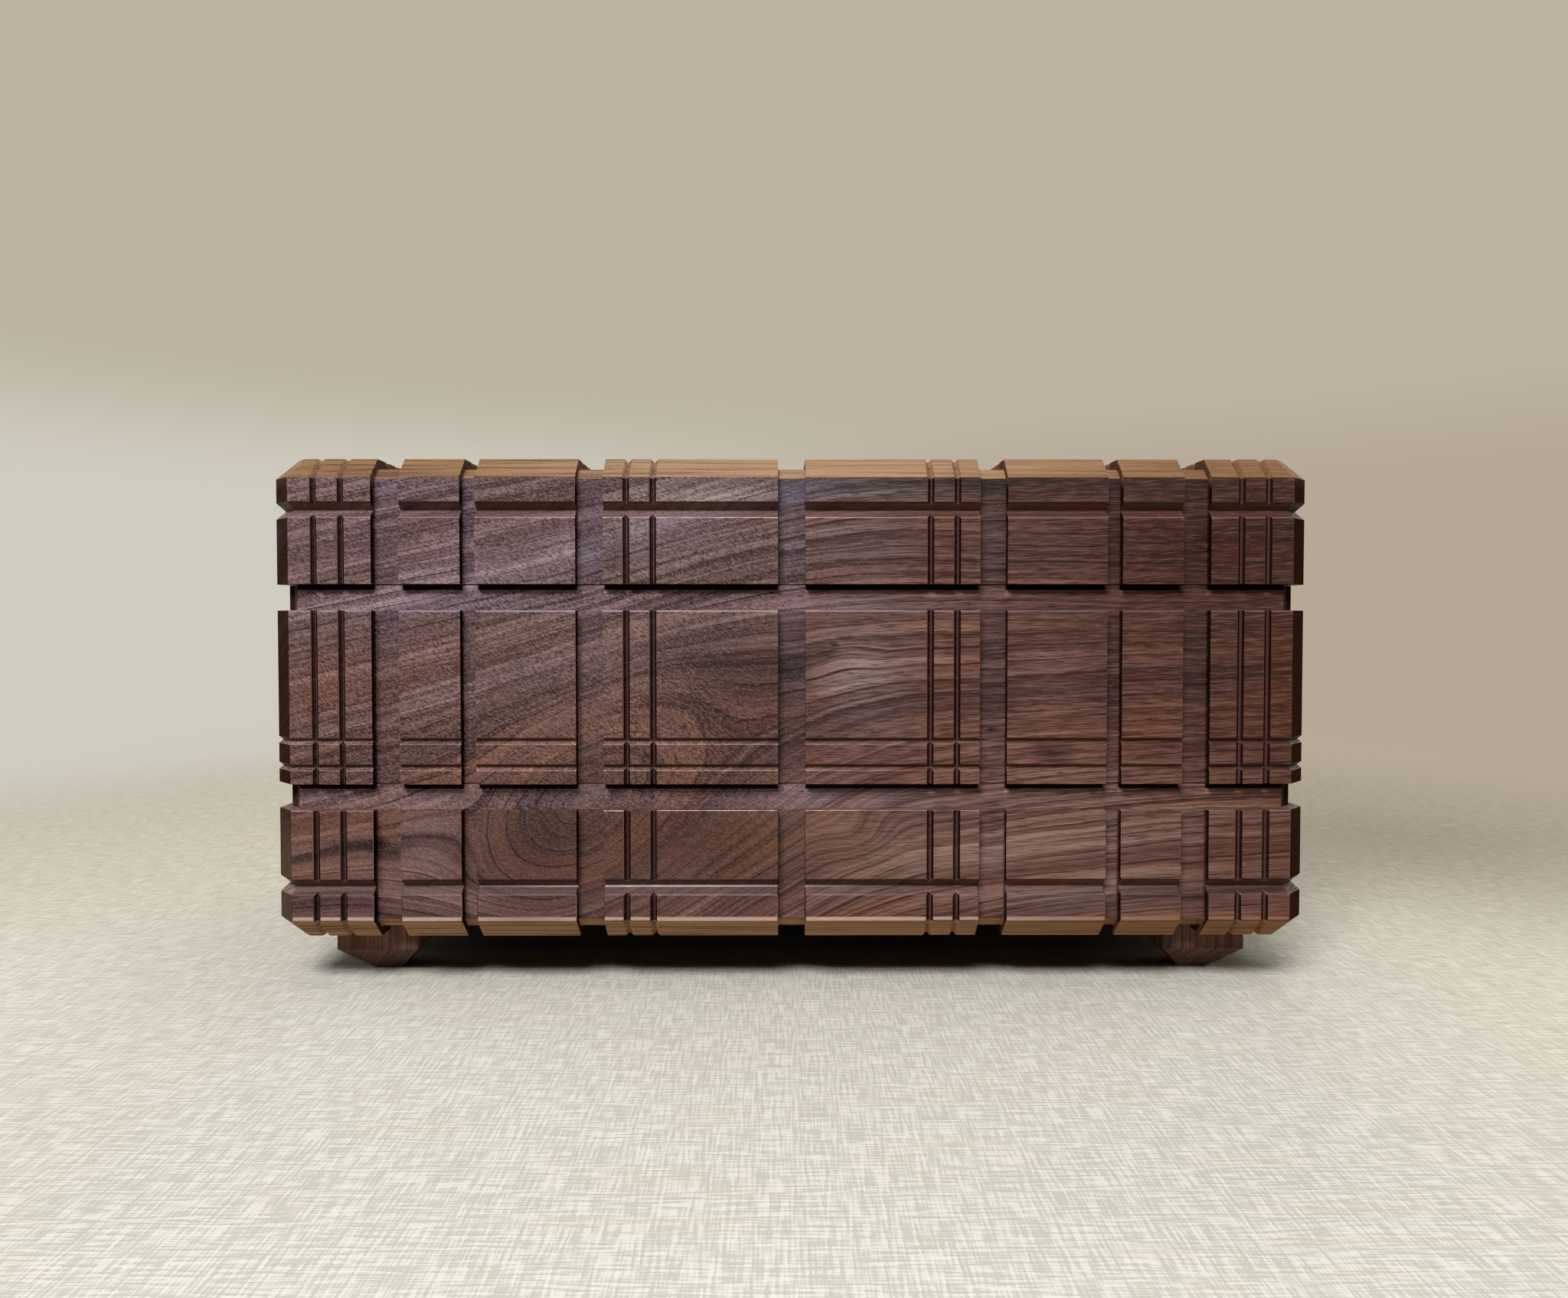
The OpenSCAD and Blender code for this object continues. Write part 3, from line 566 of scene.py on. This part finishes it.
def caught_light(f, board, cut, colour):
    """Light on the arris over the lower bevel and on the top edge of the middle tier."""
    x, z = board.x, board.z
    middle_top = UPPER_SEAM - LEVEL_CHANNEL
    ahead = f.rise(board.toward_deep, 0.97, 0.99) * f.rise(cut, 0.4, 0.2)
    low = f.band(z, LOWER_BEVEL - 0.1, LOWER_BEVEL + 0.1, LOWER_BEVEL + 1.0, LOWER_BEVEL + 1.4) * ahead
    caught = f.mix(f.rise(x, 20, 120), tone(200, 172, 156), tone(146, 108, 86))
    caught = f.tint(hill(f, board.face, (-78, 20), (12, 6), 0), caught, 216, 214, 214)
    colour = f.mix(low * 0.85, colour, caught)
    high = f.band(z, middle_top - 0.50, middle_top - 0.35, middle_top, middle_top + 0.2) * ahead
    high = high * (0.2 + hill(f, board.face, (-50, 111), (80, 30), 0) * 0.55)
    return f.paint(high, colour, 178, 168, 178)


def carving(f, board, surface, colour, dots, dark, light_tint_share):
    """Paints light and shade into the cuts by their depth below the surface and the way they face, and
    says where they are dull.
    """
    x, z = board.x, board.z
    cut = surface - f.size(board.deep)
    beside = f.size(board.run)
    slant = f.band(board.toward_deep, 0.30, 0.40, 0.90, 0.97)
    inner = f.rise(z, UPPER_BEVEL - 0.2, UPPER_BEVEL - 0.5) * f.rise(z, LOWER_BEVEL, LOWER_BEVEL + 0.3)
    inner = inner * f.rise(beside, CORNER + 0.2, CORNER - 0.1)
    groove = slant * inner
    cross = groove * f.rise(board.toward_run, 0.45, 0.60)
    colour, painted_shadow = channel_floors(f, board, cut, colour, light_tint_share)
    colour = cut_edges(f, board, cut, groove, inner, cross, colour)
    colour = caught_light(f, board, cut, colour)

    # The upright corners are cut across the grain too, and are darkened further as painted shade, less so
    # low on the left
    corner = slant * f.rise(beside, CORNER - 0.1, CORNER + 0.2) * f.rise(board.toward_run, 0.45, 0.60)
    end_grain_and_shade = f.mix(f.rise(x, -50, 50), tone(46, 33, 28), tone(62, 41, 32))
    end_grain_and_shade = f.paint(f.rise(z, 62, 36) * f.rise(x, 0, -100), end_grain_and_shade, 94, 79, 68)
    colour = f.mix(corner * 0.90, colour, f.mix(dots * 0.4, end_grain_and_shade, dark))
    return colour, corner + painted_shadow + cross * 0.8


def walnut(name, axes, hills, areas, slope, bend, fleck_tilts, surface=None, light_tint_share=0.35, ovals=None):
    """Oiled walnut. surface is how far the carved face lies from the middle of the box."""
    f = Finish(name)
    board = Board(f, axes)
    run, across, deep = board.run, board.across, board.deep
    wander = f.noise(run / 60, deep / 40, across / 24)
    level = figure_level(f, board, hills, slope, bend, ovals) + wander * 5.5 + deep * 0.8
    side = f.rise(run + wander * 60, 0, 70)
    hues = f.noise(run / 190, deep / 60 + 5, level / 10)
    shade = streaks_and_rings(f, board, level, side)
    flecks, sheen = pores(f, board, side, fleck_tilts)
    colour = heart_colours(f, shade, hues, side, wander, board, areas, light_tint_share)
    raised = f.rise(board.above_waist, -30, 20)
    # Painted sheen: the wood between the pores is lightened, more so higher up
    colour = f.mix(sheen * (0.08 + raised * 0.12), colour, tone(186, 160, 152), "SCREEN")
    fleck_depth = 0.36 + side * 0.10 + raised * (0.40 - side * 0.14)
    colour = f.paint(flecks * fleck_depth, colour, 42, 24, 23)
    colour = lit_bevels(f, board, colour)

    # Faces cut across the grain drink more oil and go dark, and are darkened further as painted shade;
    # less so at the foot of a channel's wall, and lighter just under the upper bevel
    dots = f.rise(f.noise(run / 2, across / 0.5, deep / 0.5, detail=1), 0.4, 0.6)
    dark = f.mix(dots, tone(20, 11, 8), tone(44, 28, 21))
    dark = f.paint(f.rise(board.z, 146, 150) * 0.8, dark, 150, 112, 84)
    dull = f.rise(board.toward_run, 0.78, 0.92)
    foot_of_wall = f.rise(surface - f.size(deep), 1.5, 2.4) * 0.6 if surface else 0.0
    colour = f.mix(dull * (0.92 - foot_of_wall), colour, dark)
    if surface:
        colour, also_dull = carving(f, board, surface, colour, dots, dark, light_tint_share)
        dull = dull + also_dull

    grain = f.bump(shade * 0.3 + (1 - flecks) * 0.4 + sheen * 0.3, 0.00012, 0.8)
    waxed = f.principled(
        base_color=colour, ior=1.32, roughness=0.50 + flecks * 0.16 - sheen * 0.08, normal=grain
    )
    dry = f.principled(base_color=colour, specular_ior_level=0.0, roughness=0.9, normal=grain)
    f.finish(f.node("ShaderNodeMixShader", values={0: f.maths("MINIMUM", dull, 1.0), 1: waxed, 2: dry}))
    return f.material


def planed(name, axes, dark, mid, light, gloss):
    """Straight-grained planed wood for the parts inside."""
    f = Finish(name)
    place = f.place()
    facing = f.facing()
    run, across, deep = [place["XYZ".index(axis)] for axis in axes]
    wander = f.noise(run / 80, across / 30, deep / 30)
    level = across + deep * 0.8 + wander * 10
    bands = f.noise(run / 130, level / 5.0, deep / 30, detail=3)
    lines = f.noise(run / 40, level / 0.9, deep / 9)
    fine = f.noise(run / 3.2, across / 0.4, deep / 0.4, detail=1)
    flecks = f.rise(fine, 0.52, 0.34)
    shade = f.rise(bands, 0.3, 0.7) * 0.6 + f.rise(lines, 0.3, 0.7) * 0.4
    colour = f.ramp(shade, [(0.05, dark), (0.5, mid), (0.95, light)])
    colour = f.mix(flecks * 0.35, colour, dark)
    end = f.rise(f.size(facing["XYZ".index(axes[0])]), 0.5, 0.85)
    colour = f.mix(end * 0.55, colour, dark)
    return f.shade(
        base_color=colour,
        roughness=gloss + flecks * 0.12,
        normal=f.bump(shade * 0.4 + (1 - flecks) * 0.6, 0.00008, 0.5),
    )


def turned_brass(name):
    """Satin brass with turning marks and a little tarnish."""
    f = Finish(name)
    x, y, z = f.place()
    tarnish = f.noise(x / 3, y / 3, z / 3, detail=3)
    marks = f.noise(x / 0.8, y / 0.8, z / 0.15, detail=1)
    colour = f.mix(f.rise(tarnish, 0.45, 0.75), tone(214, 178, 104), tone(150, 112, 62))
    return f.shade(
        base_color=colour,
        metallic=1.0,
        roughness=0.30 + f.rise(tarnish, 0.4, 0.8) * 0.2,
        normal=f.bump(marks, 0.00003, 0.5),
    )


front_walnut = walnut(
    "walnut_front", "XZY", FRONT_HILLS, FRONT_AREAS, 0.10, 0.0002, (-28, 2), HALF_DEPTH, 1.0, FRONT_OVALS
)
back_walnut = walnut("walnut_back", "XZY", BACK_HILLS, BACK_AREAS, -0.06, 0.0001, (8, -20), HALF_DEPTH)
end_walnut = walnut("walnut_ends", "YZX", END_HILLS, END_AREAS, 0.05, -0.0002, (-14, 6), HALF_WIDTH)
top_walnut = walnut("walnut_top", "XYZ", TOP_HILLS, TOP_AREAS, 0.04, 0.0001, (-8, 4))
foot_walnut = walnut("walnut_feet", "ZXY", [], FOOT_AREAS, 0.0, 0.0, (4, -4))

inner_tones = (tone(84, 56, 42), tone(122, 86, 64), tone(150, 110, 84))
maple_tones = (tone(176, 134, 88), tone(206, 168, 118), tone(224, 192, 148))
inner_x = planed("walnut_inner_x", "XYZ", *inner_tones, 0.5)
inner_y = planed("walnut_inner_y", "YXZ", *inner_tones, 0.5)
maple_x = planed("maple_x", "XYZ", *maple_tones, 0.42)
maple_y = planed("maple_y", "YXZ", *maple_tones, 0.42)
maple_z = planed("maple_z", "ZXY", *maple_tones, 0.42)
brass = turned_brass("brass")

FINISHES = {
    front_walnut: ["lid_front", "middle_front", "drawer_front"],
    back_walnut: ["lid_back", "middle_back", "base_back"],
    end_walnut: [
        "lid_left", "lid_right", "middle_left", "middle_right",
        "base_left", "base_right", "left_key", "right_key",
    ],
    top_walnut: ["lid_top"],
    foot_walnut: ["foot_front_left", "foot_front_right", "foot_back_left", "foot_back_right"],
    inner_x: [
        "base_panel", "front_rail", "back_rail", "drawer_back", "drawer_bottom", "middle_floor",
        "till_rail_front", "till_rail_back", "lid_cleat_front", "lid_cleat_back",
        "lid_fixed_panel", "lid_sliding_panel",
    ],
    inner_y: [
        "drawer_guide_left", "drawer_guide_right", "drawer_left", "drawer_right",
        "till_tray", "left_key_plate", "right_key_plate",
    ],
    maple_x: ["runner_front", "runner_back", "middle_dowels"],
    maple_y: ["lid_runner_left", "lid_runner_right", "cam_plate", "base_dowels"],
    maple_z: ["lid_dowels"],
    brass: ["foot_screws", "cam_pin", "cam_screws", "left_key_screw", "right_key_screw"],
}

# Width of the eased edges, and the round pieces that keep their edges
CARVED_EDGE = 0.00022
TURNED = FINISHES[brass] + ["lid_dowels", "middle_dowels", "base_dowels"]


def crisp_faces():
    """Geometry nodes that shade each face flat, so that every cut keeps its own light."""
    group = bpy.data.node_groups.new("crisp_faces", "GeometryNodeTree")
    group.interface.new_socket("Geometry", in_out="INPUT", socket_type="NodeSocketGeometry")
    group.interface.new_socket("Geometry", in_out="OUTPUT", socket_type="NodeSocketGeometry")
    taken = group.nodes.new("NodeGroupInput")
    given = group.nodes.new("NodeGroupOutput")
    flat = group.nodes.new("GeometryNodeSetMeshNormal")
    flat.mode = "SHARPNESS"
    flat.inputs["Remove Custom"].default_value = True
    flat.inputs["Face Sharpness"].default_value = True
    group.links.new(taken.outputs[0], flat.inputs[0])
    group.links.new(flat.outputs[0], given.inputs[0])
    return group


CRISP = crisp_faces()


def ease(piece, width):
    """Takes a little off a piece's sharp edges, as sanding does."""
    weld = piece.modifiers.new("weld", "WELD")
    weld.merge_threshold = 0.000001
    bevel = piece.modifiers.new("eased_edges", "BEVEL")
    bevel.width = width
    bevel.segments = 1
    bevel.limit_method = "ANGLE"
    bevel.angle_limit = math.radians(28)
    bevel.use_clamp_overlap = True
    bevel.harden_normals = False
    crisp = piece.modifiers.new("crisp_faces", "NODES")
    crisp.node_group = CRISP


for finish, names in FINISHES.items():
    for name in names:
        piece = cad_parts[name]
        piece.data.materials.clear()
        piece.data.materials.append(finish)
        if name not in TURNED:
            ease(piece, CARVED_EDGE)

# Studio: a pale cloth that runs out flat and sweeps up into a wall all round
FLOOR_FLAT = 1.05
SWEEP = 0.75
WALL_TOP = 2.6
ROUND_STEPS = 96
SWEEP_STEPS = 16


def cyclorama():
    """The floor and the wall in one piece, made of rings round the middle."""
    profile = [(0.0, 0.0), (0.35, 0.0), (0.7, 0.0), (FLOOR_FLAT, 0.0)]
    for step in range(1, SWEEP_STEPS + 1):
        turn = math.pi / 2 * step / SWEEP_STEPS
        profile.append((FLOOR_FLAT + SWEEP * math.sin(turn), SWEEP * (1 - math.cos(turn))))
    profile.append((FLOOR_FLAT + SWEEP, WALL_TOP))
    mesh = bmesh.new()
    rings = []
    for radius, height in profile[1:]:
        ring = []
        for step in range(ROUND_STEPS):
            turn = 2 * math.pi * step / ROUND_STEPS
            ring.append(mesh.verts.new((radius * math.cos(turn), radius * math.sin(turn), height)))
        rings.append(ring)
    mesh.faces.new(rings[0])
    for low, high in zip(rings, rings[1:]):
        for step in range(ROUND_STEPS):
            after = (step + 1) % ROUND_STEPS
            mesh.faces.new((low[step], high[step], high[after], low[after]))
    for face in mesh.faces:
        face.smooth = True
    data = bpy.data.meshes.new("cyclorama")
    mesh.to_mesh(data)
    mesh.free()
    made = bpy.data.objects.new("cyclorama", data)
    bpy.context.scene.collection.objects.link(made)
    return made


def linen(name):
    """Pale cloth below, plain wall above, with the wall shown at its own colour whatever lights it."""
    f = Finish(name)
    x, y, z = f.place()
    warp = f.noise(x / 0.7, y / 9, z / 9, detail=1)
    weft = f.noise(x / 9, y / 0.7, z / 9, detail=1)
    weave = f.rise(warp + weft, 0.78, 1.22)
    slubs = f.noise(x / 60, y / 2.5, z / 20)
    cloth = f.mix(weave, tone(176, 177, 169), tone(203, 204, 198))
    cloth = f.paint(f.rise(slubs, 0.5, 0.8) * 0.3, cloth, 186, 180, 160)

    # Painted light and shade on the cloth: the light falls off behind the box and to its right, lighter
    # towards the front corners, and little of it comes under the box, where a painted shadow lies
    beside = f.size(x)
    behind = f.rise(y, -110, 140)
    ground = f.vector(x, y, 0)
    cloth = f.tint(behind, cloth, 242, 240, 232)
    cloth = f.tint(f.rise(beside, 110, 200), cloth, 247, 243, 238)
    cloth = f.tint(behind * f.rise(x, 40, 320), cloth, 214, 208, 204)
    cloth = f.tint(hill(f, ground, (285, 95), (80, 90), 0), cloth, 233, 231, 231)
    for front_corner in ((-290, -150), (290, -150)):
        cloth = f.tint(hill(f, ground, front_corner, (110, 70), 0), cloth, 266, 266, 266)
    beneath = f.rise(beside, 150, 126) * f.rise(f.size(y), 80, 74)
    shadow = f.mix(f.rise(y, -66, -56), tone(112, 98, 66), tone(19, 16, 10))
    cloth = f.mix(beneath * 0.92, cloth, shadow)
    seen = f.node("ShaderNodeLightPath", output="Is Camera Ray")
    seen = seen + f.node("ShaderNodeLightPath", output="Is Glossy Ray")
    cloth = f.mix(seen, tone(112, 104, 90), cloth)
    floor = f.node(
        "ShaderNodeBsdfPrincipled",
        values={"Base Color": cloth, "Roughness": 0.95, "Normal": f.bump(weave, 0.0003, 0.5)},
    )
    # The wall glows with painted light: lighter on the left, darker and warmer on the right, and another
    # tone high up
    wall = f.mix(f.rise(x, -650, 650), tone(206, 202, 190), tone(181, 166, 149))
    wall = f.mix(f.rise(z, 330, 600), wall, tone(187, 179, 160))
    plain = f.node("ShaderNodeEmission", values={"Color": wall, "Strength": 1.0})
    dull = f.node("ShaderNodeBsdfDiffuse", values={"Color": tone(70, 67, 60)})
    wall_surface = f.node("ShaderNodeMixShader", values={0: seen, 1: dull, 2: plain})
    # Far from the box the cloth glows as the wall does, without shadows
    away = f.node("ShaderNodeVectorMath", {"operation": "LENGTH"}, {0: ground}, output=1)
    plain_part = f.maths("MAXIMUM", f.rise(z, 20, 330), f.rise(away, 360, 680))
    f.finish(f.node("ShaderNodeMixShader", values={0: plain_part, 1: floor, 2: wall_surface}))
    return f.material


backdrop = cyclorama()
backdrop.data.materials.append(linen("linen"))


def soft_box(name, place, aim, size, power, colour):
    """A rectangular lamp that points at aim."""
    light = bpy.data.lights.new(name, "AREA")
    light.shape = "RECTANGLE"
    light.size, light.size_y = size
    light.energy = power
    light.color = colour
    made = bpy.data.objects.new(name, light)
    made.location = place
    made.rotation_euler = (Vector(aim) - Vector(place)).to_track_quat("-Z", "Y").to_euler()
    bpy.context.scene.collection.objects.link(made)


CENTRE = (0, 0, 0.08)
soft_box("key", (-0.25, -0.90, 1.02), CENTRE, (0.6, 0.35), 22, (1.0, 0.955, 0.92))
soft_box("top", (0.1, -0.05, 1.5), CENTRE, (0.8, 0.8), 5.5, (1.0, 0.93, 0.82))
soft_box("left_fill", (-1.2, 0.45, 0.6), CENTRE, (0.5, 0.6), 3.5, (0.90, 0.93, 1.0))
soft_box("right_fill", (1.2, 0.45, 0.6), CENTRE, (0.5, 0.6), 3.5, (1.0, 0.95, 0.88))
soft_box("back_fill", (0.2, 0.95, 1.1), CENTRE, (1.0, 0.5), 8, (1.0, 0.97, 0.93))

world = bpy.data.worlds.new("room")
world.use_nodes = True
world.node_tree.nodes["Background"].inputs["Color"].default_value = (1.0, 0.97, 0.92, 1.0)
world.node_tree.nodes["Background"].inputs["Strength"].default_value = 0.04
bpy.context.scene.world = world

lens = bpy.data.cameras.new("camera")
lens.sensor_width = SENSOR
lens.lens = FOCAL_PIXELS * SENSOR / PICTURE_WIDTH
lens.clip_start = 0.01
camera = bpy.data.objects.new("camera", lens)
camera.location = (CAMERA_X, FRONT_Y - FOCAL_PIXELS / FRONT_SCALE / MM, CAMERA_Z)
camera.rotation_euler = (math.pi / 2 - PITCH_DOWN, 0, -YAW_RIGHT)
bpy.context.scene.collection.objects.link(camera)
bpy.context.scene.camera = camera

bpy.context.scene.view_settings.view_transform = "Standard"
